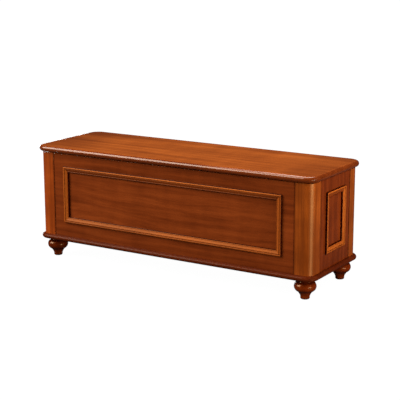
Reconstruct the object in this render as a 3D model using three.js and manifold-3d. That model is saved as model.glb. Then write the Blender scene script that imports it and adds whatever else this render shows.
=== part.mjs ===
// Wooden blanket chest on turned feet, with a hinged lid.
//
// Millimetres, +Z up. X runs along the chest, the front faces -Y, and the origin is on the floor
// under the middle of the chest.
import * as THREE from "three";
import { mergeVertices } from "three/addons/utils/BufferGeometryUtils.js";
import Module from "manifold-3d";

const wasm = await Module();
wasm.setup();

// ---- driving dimensions ----------------------------------------------------------------------

// The case, measured over the corner posts.
const BODY_LENGTH = 1172;
const BODY_DEPTH = 364;
const FOOT_HEIGHT = 74;
const BASE_THICKNESS = 19;
const CASE_HEIGHT = 323;
const LID_GAP = 3;
const LID_THICKNESS = 22;
const LID_OVERHANG = 13;
const BASE_OVERHANG = 12.5;
const BASE_RAIL_WIDTH = 90;

// Corner posts and the boards tongued into them.
const POST_SIZE = 67;
const POST_CORNER_RADIUS = 32;
const BOARD_THICKNESS = 18;
const BOARD_SETBACK = 1.5;
const TONGUE_THICKNESS = 8;
const TONGUE_LENGTH = 8;
const BOTTOM_THICKNESS = 9;

// The bolection moulding that frames the sunk field of a board.
const MOULDING_WIDTH = 21;
const MOULDING_SEAT = 15;
const MOULDING_RISE = 8;
const MOULDING_GROOVE = 7;
const MOULDING_LIP = 2.2;
const FIELD_SINK = 4;
const FRONT_MOULDING_LENGTH = 942;
const SIDE_MOULDING_LENGTH = 150;
const MOULDING_BOTTOM = 149.5;
const MOULDING_TOP = 368;

// Turned feet, each on a hanger bolt and a nailed glide.
const FOOT_X = 543.5;
const FOOT_Y = 139.5;
const FOOT_STEM_RADIUS = 16.4;
const FOOT_BULB_RADIUS = 39.3;
const FOOT_BULB_CENTRE_Z = 46;
const FOOT_BULB_ROUND = 20;
const FOOT_NECK_RADIUS = 29.5;
const FOOT_NECK_HEIGHT = 6;
const FOOT_PAD_TOP = 10;
const FOOT_WAIST_Z = 19;
const GLIDE_THICKNESS = 1.5;
const GLIDE_RADIUS = 14.5;
const NAIL_RADIUS = 1.2;
const NAIL_LENGTH = 14;
const STUD_RADIUS = 4;
const STUD_IN_FOOT = 34;
const STUD_IN_POST = 32;

// Lid battens, bumpers and butt hinges.
const BATTEN_X = 300;
const BATTEN_WIDTH = 40;
const BATTEN_LENGTH = 300;
const BATTEN_THICKNESS = 18;
const BUMPER_RADIUS = 6;
const HINGE_X = 380;
const HINGE_LENGTH = 64;
const HINGE_KNUCKLES = 5;
const KNUCKLE_RADIUS = 3.2;
const KNUCKLE_GAP = 0.4;
const HINGE_ROOM = 0.8;
const HINGE_PIN_RADIUS = 1.5;
const PIN_HEAD_RADIUS = 2.4;
const PIN_HEAD_LENGTH = 1.4;
const LEAF_THICKNESS = 1.4;
const LEAF_INSET = 2;
const PIN_BEHIND_CASE = 3.4;

// Lid stays. An arm hangs from a bracket under the lid, and a stud at its end runs in the curved
// slot of a plate on the side board. Places are measured forward of the hinge pin and above it.
const STAY_PIVOT = new THREE.Vector2(100, -15);
const STAY_ARM_LENGTH = 190;
const STAY_ARM_WIDTH = 14;
const STAY_ARM_START = THREE.MathUtils.degToRad(-7);
const STAY_ARM_RATIO = -0.44;
const LID_OPENING = THREE.MathUtils.degToRad(90);
const STAY_STUD_RADIUS = 2.5;
const STAY_PLATE_THICKNESS = 3;
const STAY_ARM_THICKNESS = 2.5;
const STAY_WEB_THICKNESS = 2.5;
const STAY_WEB_RADIUS = 11;
const STAY_FLANGE_LENGTH = 48;
const STAY_FLANGE_WIDTH = 18;
const STAY_FLANGE_THICKNESS = 2;
const STAY_RIM = 8;
const STAY_EAR_RADIUS = 8;
const STAY_EAR_DROP = 14;
const STAY_EAR_SPREAD = 5;
const STAY_ARM_OFF_PLATE = 0.5;
const SCREW_HOLE_RADIUS = 2.2;
const RIVET_RADIUS = 2.9;

// Loose fits, and the film of glue between seated pieces.
const CLEARANCE = 0.3;
const GLUE = 0.1;

// ---- places worked out from them -------------------------------------------------------------

const HALF_LENGTH = BODY_LENGTH / 2;
const HALF_DEPTH = BODY_DEPTH / 2;
const BASE_TOP = FOOT_HEIGHT + BASE_THICKNESS;
const CASE_TOP = BASE_TOP + CASE_HEIGHT;
const LID_UNDERSIDE = CASE_TOP + LID_GAP;
const BOARD_FACE_X = HALF_LENGTH - BOARD_SETBACK;
const BOARD_FACE_Y = HALF_DEPTH - BOARD_SETBACK;
const INNER_X = BOARD_FACE_X - BOARD_THICKNESS;
const INNER_Y = BOARD_FACE_Y - BOARD_THICKNESS;
const PIN_Y = HALF_DEPTH + PIN_BEHIND_CASE;
const PIN_Z = CASE_TOP + LID_GAP / 2;

// ---- materials -------------------------------------------------------------------------------

const FINISHES = {
  lidWood: { color: 0x9a4a20, roughness: 0.28, metalness: 0 },
  boardWood: { color: 0x6e2d12, roughness: 0.3, metalness: 0 },
  postWood: { color: 0x8f4218, roughness: 0.3, metalness: 0 },
  mouldingWood: { color: 0xa9602a, roughness: 0.28, metalness: 0 },
  footWood: { color: 0x4a1e0e, roughness: 0.25, metalness: 0 },
  innerWood: { color: 0xa06b40, roughness: 0.6, metalness: 0 },
  brass: { color: 0xb08d4c, roughness: 0.35, metalness: 1 },
  steel: { color: 0x9a9a9a, roughness: 0.4, metalness: 1 },
  nylon: { color: 0x2a2624, roughness: 0.6, metalness: 0 },
  rubber: { color: 0x3a2a20, roughness: 0.9, metalness: 0 },
};

function piece(name, geometry, finish) {
  const mesh = new THREE.Mesh(geometry, new THREE.MeshStandardMaterial(FINISHES[finish]));
  mesh.name = name;
  return mesh;
}

// ---- solids ----------------------------------------------------------------------------------

function solidOf(geometry) {
  const bare = new THREE.BufferGeometry();
  bare.setAttribute("position", geometry.getAttribute("position"));
  bare.setIndex(geometry.index);
  const merged = mergeVertices(bare);
  const vertProperties = merged.getAttribute("position").array;
  const triVerts = new Uint32Array(merged.index.array);
  return new wasm.Manifold(new wasm.Mesh({ numProp: 3, vertProperties, triVerts }));
}

function geometryOf(solid) {
  const { vertProperties, triVerts } = solid.getMesh();
  const shared = new THREE.BufferGeometry();
  shared.setAttribute("position", new THREE.BufferAttribute(vertProperties, 3));
  shared.setIndex(new THREE.BufferAttribute(triVerts, 1));
  const geometry = shared.toNonIndexed();
  geometry.computeVertexNormals();
  return geometry;
}

function join(first, ...others) {
  return geometryOf(others.reduce((sum, other) => sum.add(solidOf(other)), solidOf(first)));
}

function cut(first, ...others) {
  return geometryOf(others.reduce((rest, other) => rest.subtract(solidOf(other)), solidOf(first)));
}

function common(first, second) {
  return geometryOf(solidOf(first).intersect(solidOf(second)));
}

// A block between two opposite corners.
function block([x0, y0, z0], [x1, y1, z1]) {
  const geometry = new THREE.BoxGeometry(x1 - x0, y1 - y0, z1 - z0);
  return geometry.translate((x0 + x1) / 2, (y0 + y1) / 2, (z0 + z1) / 2);
}

// An upright rod standing on [x, y] from one height to another.
function uprightRod(radius, [x, y], bottom, top, sides = 12) {
  const geometry = new THREE.CylinderGeometry(radius, radius, top - bottom, sides);
  return geometry.rotateX(Math.PI / 2).translate(x, y, (bottom + top) / 2);
}

// A rod along X, centred on [y, z].
function levelRod(radius, [y, z], left, right, sides = 14) {
  const geometry = new THREE.CylinderGeometry(radius, radius, right - left, sides);
  return geometry.rotateZ(Math.PI / 2).translate((left + right) / 2, y, z);
}

function extrude(shape, depth, curveSegments = 4) {
  return new THREE.ExtrudeGeometry(shape, { depth, bevelEnabled: false, curveSegments });
}

// A level slab with rounded corners in plan and a half-round edge.
function bullnoseSlab(halfX, halfY, cornerRadius, bottom, thickness) {
  const CORNER_STEPS = 7;
  const EDGE_STEPS = 8;
  const round = thickness / 2;
  const positions = [];
  const outline = (inset, z) => {
    for (let corner = 0; corner < 4; corner++) {
      const signX = corner === 0 || corner === 3 ? 1 : -1;
      const signY = corner < 2 ? 1 : -1;
      for (let step = 0; step <= CORNER_STEPS; step++) {
        const angle = ((corner + step / CORNER_STEPS) * Math.PI) / 2;
        const radius = cornerRadius - inset;
        const x = signX * (halfX - cornerRadius) + radius * Math.cos(angle);
        const y = signY * (halfY - cornerRadius) + radius * Math.sin(angle);
        positions.push(x, y, z);
      }
    }
  };
  for (let ring = 0; ring <= EDGE_STEPS; ring++) {
    const angle = (ring / EDGE_STEPS - 0.5) * Math.PI;
    outline(round * (1 - Math.cos(angle)), bottom + round * (1 + Math.sin(angle)));
  }
  const around = 4 * (CORNER_STEPS + 1);
  const bottomCentre = positions.length / 3;
  positions.push(0, 0, bottom, 0, 0, bottom + thickness);
  const faces = [];
  for (let i = 0; i < around; i++) {
    const next = (i + 1) % around;
    const topRing = EDGE_STEPS * around;
    faces.push(bottomCentre, next, i);
    faces.push(bottomCentre + 1, topRing + i, topRing + next);
    for (let ring = 0; ring < EDGE_STEPS; ring++) {
      const low = ring * around;
      const high = low + around;
      faces.push(low + i, low + next, high + next, low + i, high + next, high + i);
    }
  }
  const geometry = new THREE.BufferGeometry();
  geometry.setAttribute("position", new THREE.Float32BufferAttribute(positions, 3));
  geometry.setIndex(faces);
  return geometry;
}

// ---- corners: posts, feet, studs and glides -----------------------------------------------------

// The right rear post: square, with its outer corner rounded, grooved for the board tongues.
function postGeometry() {
  const inX = HALF_LENGTH - POST_SIZE;
  const inY = HALF_DEPTH - POST_SIZE;
  const shape = new THREE.Shape();
  shape.moveTo(inX, inY);
  shape.lineTo(HALF_LENGTH, inY);
  shape.lineTo(HALF_LENGTH, HALF_DEPTH - POST_CORNER_RADIUS);
  const centreX = HALF_LENGTH - POST_CORNER_RADIUS;
  const centreY = HALF_DEPTH - POST_CORNER_RADIUS;
  shape.absarc(centreX, centreY, POST_CORNER_RADIUS, 0, Math.PI / 2);
  shape.lineTo(inX, HALF_DEPTH);
  const body = extrude(shape, CASE_HEIGHT, 6).translate(0, 0, BASE_TOP);

  const groove = TONGUE_LENGTH + CLEARANCE;
  const side = TONGUE_THICKNESS / 2 + CLEARANCE;
  const midX = BOARD_FACE_X - BOARD_THICKNESS / 2;
  const midY = BOARD_FACE_Y - BOARD_THICKNESS / 2;
  const low = BASE_TOP - 1;
  const high = CASE_TOP + 1;
  return cut(
    body,
    block([midX - side, inY - 1, low], [midX + side, inY + groove, high]),
    block([inX - 1, midY - side, low], [inX + groove, midY + side, high]),
    uprightRod(STUD_RADIUS + CLEARANCE, [FOOT_X, FOOT_Y], low, BASE_TOP + STUD_IN_POST + 1),
  );
}

// A turned foot: short stem, concave waist, round bulb and a neck under the base.
function footGeometry() {
  const path = new THREE.Path();
  const bulbX = FOOT_BULB_RADIUS - FOOT_BULB_ROUND;
  const bulbStart = -0.98;
  const bulbEnd = 1.03;
  const bulbLowX = bulbX + FOOT_BULB_ROUND * Math.cos(bulbStart);
  const bulbLowZ = FOOT_BULB_CENTRE_Z + FOOT_BULB_ROUND * Math.sin(bulbStart);
  path.moveTo(0, GLIDE_THICKNESS);
  path.lineTo(FOOT_STEM_RADIUS - 1.5, GLIDE_THICKNESS);
  path.quadraticCurveTo(FOOT_STEM_RADIUS + 0.6, GLIDE_THICKNESS + 1, FOOT_STEM_RADIUS, FOOT_PAD_TOP);
  path.quadraticCurveTo(FOOT_STEM_RADIUS + 1.5, FOOT_WAIST_Z, bulbLowX - 3, bulbLowZ - 2);
  path.lineTo(bulbLowX, bulbLowZ);
  path.absarc(bulbX, FOOT_BULB_CENTRE_Z, FOOT_BULB_ROUND, bulbStart, bulbEnd);
  path.lineTo(FOOT_NECK_RADIUS, FOOT_HEIGHT - FOOT_NECK_HEIGHT);
  path.lineTo(FOOT_NECK_RADIUS, FOOT_HEIGHT);
  path.lineTo(0, FOOT_HEIGHT);
  const turned = new THREE.LatheGeometry(path.getPoints(4), 20).rotateX(Math.PI / 2);
  const nailTop = GLIDE_THICKNESS + NAIL_LENGTH + 1;
  return cut(
    turned,
    uprightRod(STUD_RADIUS + CLEARANCE, [0, 0], FOOT_HEIGHT - STUD_IN_FOOT - 1, FOOT_HEIGHT + 1),
    uprightRod(NAIL_RADIUS + CLEARANCE, [0, 0], GLIDE_THICKNESS - 1, nailTop),
  );
}

// A nylon disc with the nail that holds it in the foot.
function glideGeometry() {
  return join(
    uprightRod(GLIDE_RADIUS, [0, 0], 0, GLIDE_THICKNESS, 24),
    uprightRod(NAIL_RADIUS, [0, 0], GLIDE_THICKNESS / 2, GLIDE_THICKNESS + NAIL_LENGTH),
  );
}

function corners() {
  const group = new THREE.Group();
  const post = postGeometry();
  const foot = footGeometry();
  const glide = glideGeometry();
  const studBottom = FOOT_HEIGHT - STUD_IN_FOOT;
  const stud = uprightRod(STUD_RADIUS, [0, 0], studBottom, BASE_TOP + STUD_IN_POST);
  for (const [endName, signY] of [["front", -1], ["rear", 1]]) {
    for (const [sideName, signX] of [["left", -1], ["right", 1]]) {
      const corner = `${endName}_${sideName}`;
      const upright = piece(`post_${corner}`, post, "postWood");
      upright.scale.set(signX, signY, 1);
      const leg = new THREE.Group();
      leg.position.set(signX * FOOT_X, signY * FOOT_Y, 0);
      leg.add(
        piece(`foot_${corner}`, foot, "footWood"),
        piece(`foot_stud_${corner}`, stud, "steel"),
        piece(`foot_glide_${corner}`, glide, "nylon"),
      );
      group.add(upright, leg);
    }
  }
  return group;
}

// ---- boards -------------------------------------------------------------------------------------

// The moulding's section, from its outer edge (x = 0) inward, with y out of the board's face.
function mouldingSection() {
  const shape = new THREE.Shape();
  const grooveRise = MOULDING_RISE * 0.6;
  const shoulder = MOULDING_RISE * 0.8;
  const lip = MOULDING_RISE * 0.42;
  const lipStart = MOULDING_SEAT + CLEARANCE;
  shape.moveTo(0, 0);
  shape.lineTo(lipStart, 0);
  shape.lineTo(lipStart, -FIELD_SINK);
  shape.lineTo(MOULDING_WIDTH, -FIELD_SINK);
  shape.lineTo(MOULDING_WIDTH, MOULDING_RISE * 0.1);
  shape.quadraticCurveTo(MOULDING_WIDTH, lip, MOULDING_WIDTH - MOULDING_LIP, lip + 0.4);
  shape.quadraticCurveTo(MOULDING_GROOVE + MOULDING_LIP, shoulder, MOULDING_GROOVE + 1, shoulder * 0.92);
  shape.quadraticCurveTo(MOULDING_GROOVE + 0.3, grooveRise, MOULDING_GROOVE, grooveRise);
  shape.quadraticCurveTo(MOULDING_GROOVE - 0.6, MOULDING_RISE, MOULDING_GROOVE / 2, MOULDING_RISE);
  shape.quadraticCurveTo(0, MOULDING_RISE, 0, MOULDING_RISE * 0.45);
  return shape;
}

// One bar of the frame, centred on x, with its outer edge on y = 0 and both ends mitred.
function mouldingBar(length) {
  const bar = extrude(mouldingSection(), length);
  const place = bar.getAttribute("position");
  for (let i = 0; i < place.count; i++) {
    const across = place.getX(i);
    const rise = place.getY(i);
    const end = place.getZ(i) > length / 2 ? 1 : -1;
    place.setXYZ(i, end * (length / 2 - across - GLUE), across, rise + GLUE);
  }
  bar.computeVertexNormals();
  return bar;
}

// The four bars around a field, in the board's plane.
function mouldingFrame(name, length, height) {
  const group = new THREE.Group();
  group.position.y = (MOULDING_BOTTOM + MOULDING_TOP) / 2;
  ["bottom", "right", "top", "left"].forEach((edge, turn) => {
    const level = turn % 2 === 0;
    const bar = piece(`${name}_moulding_${edge}`, mouldingBar(level ? length : height), "mouldingWood");
    const turned = new THREE.Group();
    bar.position.y = -(level ? height : length) / 2;
    turned.rotation.z = (turn * Math.PI) / 2;
    turned.add(bar);
    group.add(turned);
  });
  return group;
}

function rectangle(Outline, left, bottom, right, top) {
  const outline = new Outline();
  outline.moveTo(left, bottom);
  outline.lineTo(right, bottom);
  outline.lineTo(right, top);
  outline.lineTo(left, top);
  outline.closePath();
  return outline;
}

// A board between two posts, with a tongue on each end. Its outer face is z = 0 and y is up.
function tonguedBoard(width, opening) {
  const half = width / 2 - GLUE;
  const shape = rectangle(THREE.Shape, -half, BASE_TOP, half, CASE_TOP);
  if (opening) shape.holes.push(opening);
  const board = extrude(shape, BOARD_THICKNESS).translate(0, 0, -BOARD_THICKNESS);
  const low = -(BOARD_THICKNESS + TONGUE_THICKNESS) / 2;
  const high = low + TONGUE_THICKNESS;
  const reach = width / 2 + TONGUE_LENGTH;
  return join(
    board,
    block([-reach, BASE_TOP, low], [1 - half, CASE_TOP, high]),
    block([half - 1, BASE_TOP, low], [reach, CASE_TOP, high]),
  );
}

// A board with a sunk field let into it, and the moulding that laps the joint.
function framedBoard(name, width, mouldingLength) {
  const half = mouldingLength / 2 - MOULDING_SEAT;
  const low = MOULDING_BOTTOM + MOULDING_SEAT;
  const high = MOULDING_TOP - MOULDING_SEAT;
  const opening = rectangle(THREE.Path, -half, low, half, high);
  const field = block(
    [CLEARANCE - half, low + CLEARANCE, -BOARD_THICKNESS],
    [half - CLEARANCE, high - CLEARANCE, -FIELD_SINK],
  );
  const group = new THREE.Group();
  group.rotation.x = Math.PI / 2;
  group.add(
    piece(`${name}_board`, tonguedBoard(width, opening), "boardWood"),
    piece(`${name}_field`, field, "boardWood"),
    mouldingFrame(name, mouldingLength, MOULDING_TOP - MOULDING_BOTTOM),
  );
  return group;
}

function boards() {
  const longWidth = BODY_LENGTH - 2 * POST_SIZE;
  const shortWidth = BODY_DEPTH - 2 * POST_SIZE;
  const group = new THREE.Group();
  const front = framedBoard("front", longWidth, FRONT_MOULDING_LENGTH);
  front.position.y = -BOARD_FACE_Y;
  group.add(front);
  for (const [name, sign] of [["left", -1], ["right", 1]]) {
    const board = framedBoard(name, shortWidth, SIDE_MOULDING_LENGTH);
    const end = new THREE.Group();
    board.position.y = -BOARD_FACE_X;
    end.rotation.z = (sign * Math.PI) / 2;
    end.add(board);
    group.add(end);
  }
  const back = piece("back_board", tonguedBoard(longWidth), "boardWood");
  back.rotation.set(Math.PI / 2, Math.PI, 0);
  back.position.y = BOARD_FACE_Y;
  group.add(back, piece("bottom_panel", bottomGeometry(), "innerWood"));
  return group;
}

// The floor of the chest, notched around the four posts.
function bottomGeometry() {
  const halfX = INNER_X - CLEARANCE;
  const halfY = INNER_Y - CLEARANCE;
  const notchX = HALF_LENGTH - POST_SIZE - CLEARANCE;
  const notchY = HALF_DEPTH - POST_SIZE - CLEARANCE;
  return join(
    block([-halfX, -notchY, BASE_TOP], [halfX, notchY, BASE_TOP + BOTTOM_THICKNESS]),
    block([-notchX, -halfY, BASE_TOP], [notchX, halfY, BASE_TOP + BOTTOM_THICKNESS]),
  );
}

// The base frame: two long rails with short rails between them, half-round on the outer edge.
function baseRails() {
  const halfX = HALF_LENGTH + BASE_OVERHANG;
  const halfY = HALF_DEPTH + BASE_OVERHANG;
  const radius = POST_CORNER_RADIUS + BASE_OVERHANG;
  const slab = bullnoseSlab(halfX, halfY, radius, FOOT_HEIGHT, BASE_THICKNESS);
  const low = FOOT_HEIGHT - 1;
  const high = BASE_TOP + 1;
  const innerX = halfX - BASE_RAIL_WIDTH;
  const innerY = halfY - BASE_RAIL_WIDTH;
  const longPart = block([-halfX - 1, innerY, low], [halfX + 1, halfY + 1, high]);
  const bores = [-FOOT_X, FOOT_X].map((x) => uprightRod(STUD_RADIUS + CLEARANCE, [x, FOOT_Y], low, high));
  const longRail = cut(common(slab, longPart), ...bores);
  const shortPart = block([innerX, GLUE - innerY, low], [halfX + 1, innerY - GLUE, high]);
  const shortRail = common(slab, shortPart);
  const group = new THREE.Group();
  for (const [name, sign] of [["front", -1], ["rear", 1]]) {
    const rail = piece(`base_rail_${name}`, longRail, "footWood");
    rail.scale.y = sign;
    group.add(rail);
  }
  for (const [name, sign] of [["left", -1], ["right", 1]]) {
    const rail = piece(`base_rail_${name}`, shortRail, "footWood");
    rail.scale.x = sign;
    group.add(rail);
  }
  return group;
}

// ---- lid ----------------------------------------------------------------------------------------

const HINGES = [["left", -HINGE_X], ["centre", 0], ["right", HINGE_X]];

// The lid is let in over each hinge, so that the knuckles clear its overhanging rear edge.
function lid() {
  const halfX = HALF_LENGTH + LID_OVERHANG;
  const halfY = HALF_DEPTH + LID_OVERHANG;
  const radius = POST_CORNER_RADIUS + LID_OVERHANG;
  const slab = bullnoseSlab(halfX, halfY, radius, LID_UNDERSIDE, LID_THICKNESS);
  const room = KNUCKLE_RADIUS + HINGE_ROOM;
  const reach = HINGE_LENGTH / 2 + PIN_HEAD_LENGTH + HINGE_ROOM + CLEARANCE;
  const low = LID_UNDERSIDE - 1;
  const pockets = HINGES.map(([, x]) =>
    block([x - reach, PIN_Y - room, low], [x + reach, PIN_Y + room, PIN_Z + room]),
  );
  const group = new THREE.Group();
  group.add(piece("lid_top", cut(slab, ...pockets), "lidWood"));
  for (const [name, sign] of [["left", -1], ["right", 1]]) {
    const x = sign * BATTEN_X;
    const batten = block(
      [x - BATTEN_WIDTH / 2, -BATTEN_LENGTH / 2, LID_UNDERSIDE - BATTEN_THICKNESS],
      [x + BATTEN_WIDTH / 2, BATTEN_LENGTH / 2, LID_UNDERSIDE],
    );
    const bumperX = sign * (HALF_LENGTH - POST_SIZE / 2);
    const bumperY = POST_SIZE / 2 - HALF_DEPTH;
    const bumper = uprightRod(BUMPER_RADIUS, [bumperX, bumperY], CASE_TOP, LID_UNDERSIDE - GLUE, 16);
    group.add(piece(`lid_batten_${name}`, batten, "innerWood"), piece(`bumper_${name}`, bumper, "rubber"));
  }
  return group;
}

// One leaf of a butt hinge with its share of the knuckles, from its plate's underside.
function leafGeometry(bottom, firstKnuckle) {
  const half = HINGE_LENGTH / 2;
  const top = bottom + LEAF_THICKNESS;
  const plateEnd = PIN_Y - KNUCKLE_RADIUS - KNUCKLE_GAP;
  const parts = [];
  const pitch = HINGE_LENGTH / HINGE_KNUCKLES;
  for (let i = firstKnuckle; i < HINGE_KNUCKLES; i += 2) {
    const left = -half + i * pitch + KNUCKLE_GAP / 2;
    const right = left + pitch - KNUCKLE_GAP;
    parts.push(block([left, plateEnd - 1, bottom], [right, PIN_Y, top]));
    parts.push(levelRod(KNUCKLE_RADIUS, [PIN_Y, PIN_Z], left, right));
  }
  const plate = block([-half, INNER_Y + LEAF_INSET, bottom], [half, plateEnd, top]);
  const bore = levelRod(HINGE_PIN_RADIUS + CLEARANCE, [PIN_Y, PIN_Z], -half - 1, half + 1);
  return cut(join(plate, ...parts), bore);
}

function hinges() {
  const group = new THREE.Group();
  const half = HINGE_LENGTH / 2;
  const caseLeaf = leafGeometry(CASE_TOP, 0);
  const lidLeaf = leafGeometry(LID_UNDERSIDE - LEAF_THICKNESS, 1);
  const axis = [PIN_Y, PIN_Z];
  const headStart = half + KNUCKLE_GAP / 2;
  const headEnd = headStart + PIN_HEAD_LENGTH;
  const pin = join(
    levelRod(HINGE_PIN_RADIUS, axis, -half - 0.5, half + 0.5),
    levelRod(PIN_HEAD_RADIUS, axis, headStart, headEnd),
    levelRod(PIN_HEAD_RADIUS, axis, -headEnd, -headStart),
  );
  for (const [name, x] of HINGES) {
    const hinge = new THREE.Group();
    hinge.position.x = x;
    hinge.add(
      piece(`hinge_${name}_case_leaf`, caseLeaf, "brass"),
      piece(`hinge_${name}_lid_leaf`, lidLeaf, "brass"),
      piece(`hinge_${name}_pin`, pin, "brass"),
    );
    group.add(hinge);
  }
  return group;
}

// ---- lid stays ----------------------------------------------------------------------------------

// Where the arm's stud is when the lid has turned by an angle.
function studAt(opening) {
  const angle = STAY_ARM_START + STAY_ARM_RATIO * opening;
  const along = new THREE.Vector2(Math.cos(angle), Math.sin(angle));
  const pivot = STAY_PIVOT.clone().rotateAround(new THREE.Vector2(), opening);
  return pivot.addScaledVector(along, STAY_ARM_LENGTH);
}

// A strip of even width with round ends along a run of points.
function strip(points, halfWidth) {
  const ahead = points.map((point, i) => {
    const from = points[Math.max(i - 1, 0)];
    const to = points[Math.min(i + 1, points.length - 1)];
    return to.clone().sub(from).angle();
  });
  const left = (point, i) => [
    point.x - halfWidth * Math.sin(ahead[i]),
    point.y + halfWidth * Math.cos(ahead[i]),
  ];
  const last = points.length - 1;
  const shape = new THREE.Shape();
  const [start, end] = [points[0], points[last]];
  shape.moveTo(...left(start, 0));
  points.slice(1).forEach((point, i) => shape.lineTo(...left(point, i + 1)));
  const quarter = Math.PI / 2;
  shape.absarc(end.x, end.y, halfWidth, ahead[last] + quarter, ahead[last] - quarter, true);
  for (let i = last - 1; i >= 0; i--) {
    const [x, y] = left(points[i], i);
    shape.lineTo(2 * points[i].x - x, 2 * points[i].y - y);
  }
  shape.absarc(start.x, start.y, halfWidth, ahead[0] - quarter, ahead[0] - 3 * quarter, true);
  return shape;
}

// A round bar standing on the stay's plane at a point, between two depths.
function boss(radius, at, near, far, sides = 16) {
  const geometry = new THREE.CylinderGeometry(radius, radius, far - near, sides);
  return geometry.rotateX(Math.PI / 2).translate(at.x, at.y, (near + far) / 2);
}

// The plate on the side board, with a slot along the stud's whole path and three screw ears.
function stayPlateGeometry() {
  const STEPS = 14;
  const path = [];
  for (let i = 0; i <= STEPS; i++) path.push(studAt((LID_OPENING * i) / STEPS));
  const [front, rear] = [path[0], path[STEPS]];
  const middle = path[STEPS / 2];
  const ears = [
    new THREE.Vector2(front.x - STAY_EAR_SPREAD, front.y - STAY_EAR_DROP),
    new THREE.Vector2(middle.x, middle.y - STAY_EAR_DROP),
    new THREE.Vector2(rear.x + STAY_EAR_SPREAD, rear.y - STAY_EAR_DROP),
  ];
  const thickness = STAY_PLATE_THICKNESS;
  const plate = join(
    extrude(strip(path, STAY_RIM), thickness),
    ...ears.map((ear) => boss(STAY_EAR_RADIUS, ear, 0, thickness)),
  );
  const slot = extrude(strip(path, STAY_STUD_RADIUS + 2 * CLEARANCE), thickness + 2);
  return cut(
    plate,
    slot.translate(0, 0, -1),
    ...ears.map((ear) => boss(SCREW_HOLE_RADIUS, ear, -1, thickness + 1)),
  );
}

// The arm along x from its pivot hole to the stud that reaches into the slot.
function stayArmGeometry(armNear) {
  const ends = [new THREE.Vector2(0, 0), new THREE.Vector2(STAY_ARM_LENGTH, 0)];
  const bar = extrude(strip(ends, STAY_ARM_WIDTH / 2), STAY_ARM_THICKNESS);
  const stud = boss(STAY_STUD_RADIUS, ends[1], CLEARANCE - armNear, 1);
  const hole = boss(RIVET_RADIUS + CLEARANCE, ends[0], -1, STAY_ARM_THICKNESS + 1);
  return cut(join(bar, stud), hole);
}

// The bracket: a flange under the lid, a hanging web and the rivet that the arm turns on.
function stayBracketGeometry(armNear) {
  const underside = LID_UNDERSIDE - PIN_Z;
  const webNear = armNear + STAY_ARM_THICKNESS + CLEARANCE;
  const webFar = webNear + STAY_WEB_THICKNESS;
  const halfFlange = STAY_FLANGE_LENGTH / 2;
  const webTop = new THREE.Vector2(STAY_PIVOT.x, underside + STAY_WEB_RADIUS);
  const web = strip([STAY_PIVOT, webTop], STAY_WEB_RADIUS);
  const hanging = extrude(web, STAY_WEB_THICKNESS).translate(0, 0, webNear);
  const trim = block([0, underside, 0], [2 * STAY_PIVOT.x, 4 * STAY_WEB_RADIUS, 2 * webFar]);
  const flange = block(
    [STAY_PIVOT.x - halfFlange, underside - STAY_FLANGE_THICKNESS, webNear],
    [STAY_PIVOT.x + halfFlange, underside, webFar + STAY_FLANGE_WIDTH],
  );
  const rivet = boss(RIVET_RADIUS, STAY_PIVOT, armNear, webFar);
  return join(cut(hanging, trim), flange, rivet);
}

// The right-hand stay. In its group x is forward, y is up and z is inward from the side board.
function stay(name) {
  const armNear = STAY_PLATE_THICKNESS + STAY_ARM_OFF_PLATE;
  const arm = piece(`stay_${name}_arm`, stayArmGeometry(armNear), "brass");
  arm.position.set(STAY_PIVOT.x, STAY_PIVOT.y, armNear);
  arm.rotation.z = STAY_ARM_START;
  const plane = new THREE.Group();
  const forward = new THREE.Vector3(0, -1, 0);
  const up = new THREE.Vector3(0, 0, 1);
  const inward = new THREE.Vector3(-1, 0, 0);
  plane.quaternion.setFromRotationMatrix(new THREE.Matrix4().makeBasis(forward, up, inward));
  plane.position.set(INNER_X - GLUE, PIN_Y, PIN_Z);
  plane.add(
    piece(`stay_${name}_track`, stayPlateGeometry(), "brass"),
    arm,
    piece(`stay_${name}_bracket`, stayBracketGeometry(armNear), "brass"),
  );
  return plane;
}

function stays() {
  const group = new THREE.Group();
  for (const [name, sign] of [["left", -1], ["right", 1]]) {
    const side = new THREE.Group();
    side.scale.x = sign;
    side.add(stay(name));
    group.add(side);
  }
  return group;
}

// ---- the whole chest ----------------------------------------------------------------------------

const chest = new THREE.Group();
chest.add(corners(), boards(), baseRails(), lid(), hinges(), stays());

export default chest;
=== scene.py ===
import math

import bmesh
import bpy
from mathutils import Matrix, Vector


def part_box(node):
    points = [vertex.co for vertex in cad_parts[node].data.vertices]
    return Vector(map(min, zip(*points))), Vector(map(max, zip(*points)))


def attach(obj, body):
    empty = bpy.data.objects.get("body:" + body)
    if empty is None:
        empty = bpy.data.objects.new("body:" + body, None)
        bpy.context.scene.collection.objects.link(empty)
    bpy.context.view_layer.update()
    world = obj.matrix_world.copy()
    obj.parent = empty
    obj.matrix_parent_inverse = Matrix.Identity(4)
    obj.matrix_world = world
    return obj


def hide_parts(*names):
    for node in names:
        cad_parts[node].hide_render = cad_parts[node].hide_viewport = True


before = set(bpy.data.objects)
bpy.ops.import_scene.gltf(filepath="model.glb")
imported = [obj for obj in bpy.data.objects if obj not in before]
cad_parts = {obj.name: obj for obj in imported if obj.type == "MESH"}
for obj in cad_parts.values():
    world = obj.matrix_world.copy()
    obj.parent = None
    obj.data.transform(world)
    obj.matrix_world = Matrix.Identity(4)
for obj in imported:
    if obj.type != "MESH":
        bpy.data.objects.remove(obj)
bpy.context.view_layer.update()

MM = 0.001
SCENE = bpy.context.scene


# ---- places from the frame ---------------------------------------------------------------------

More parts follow.
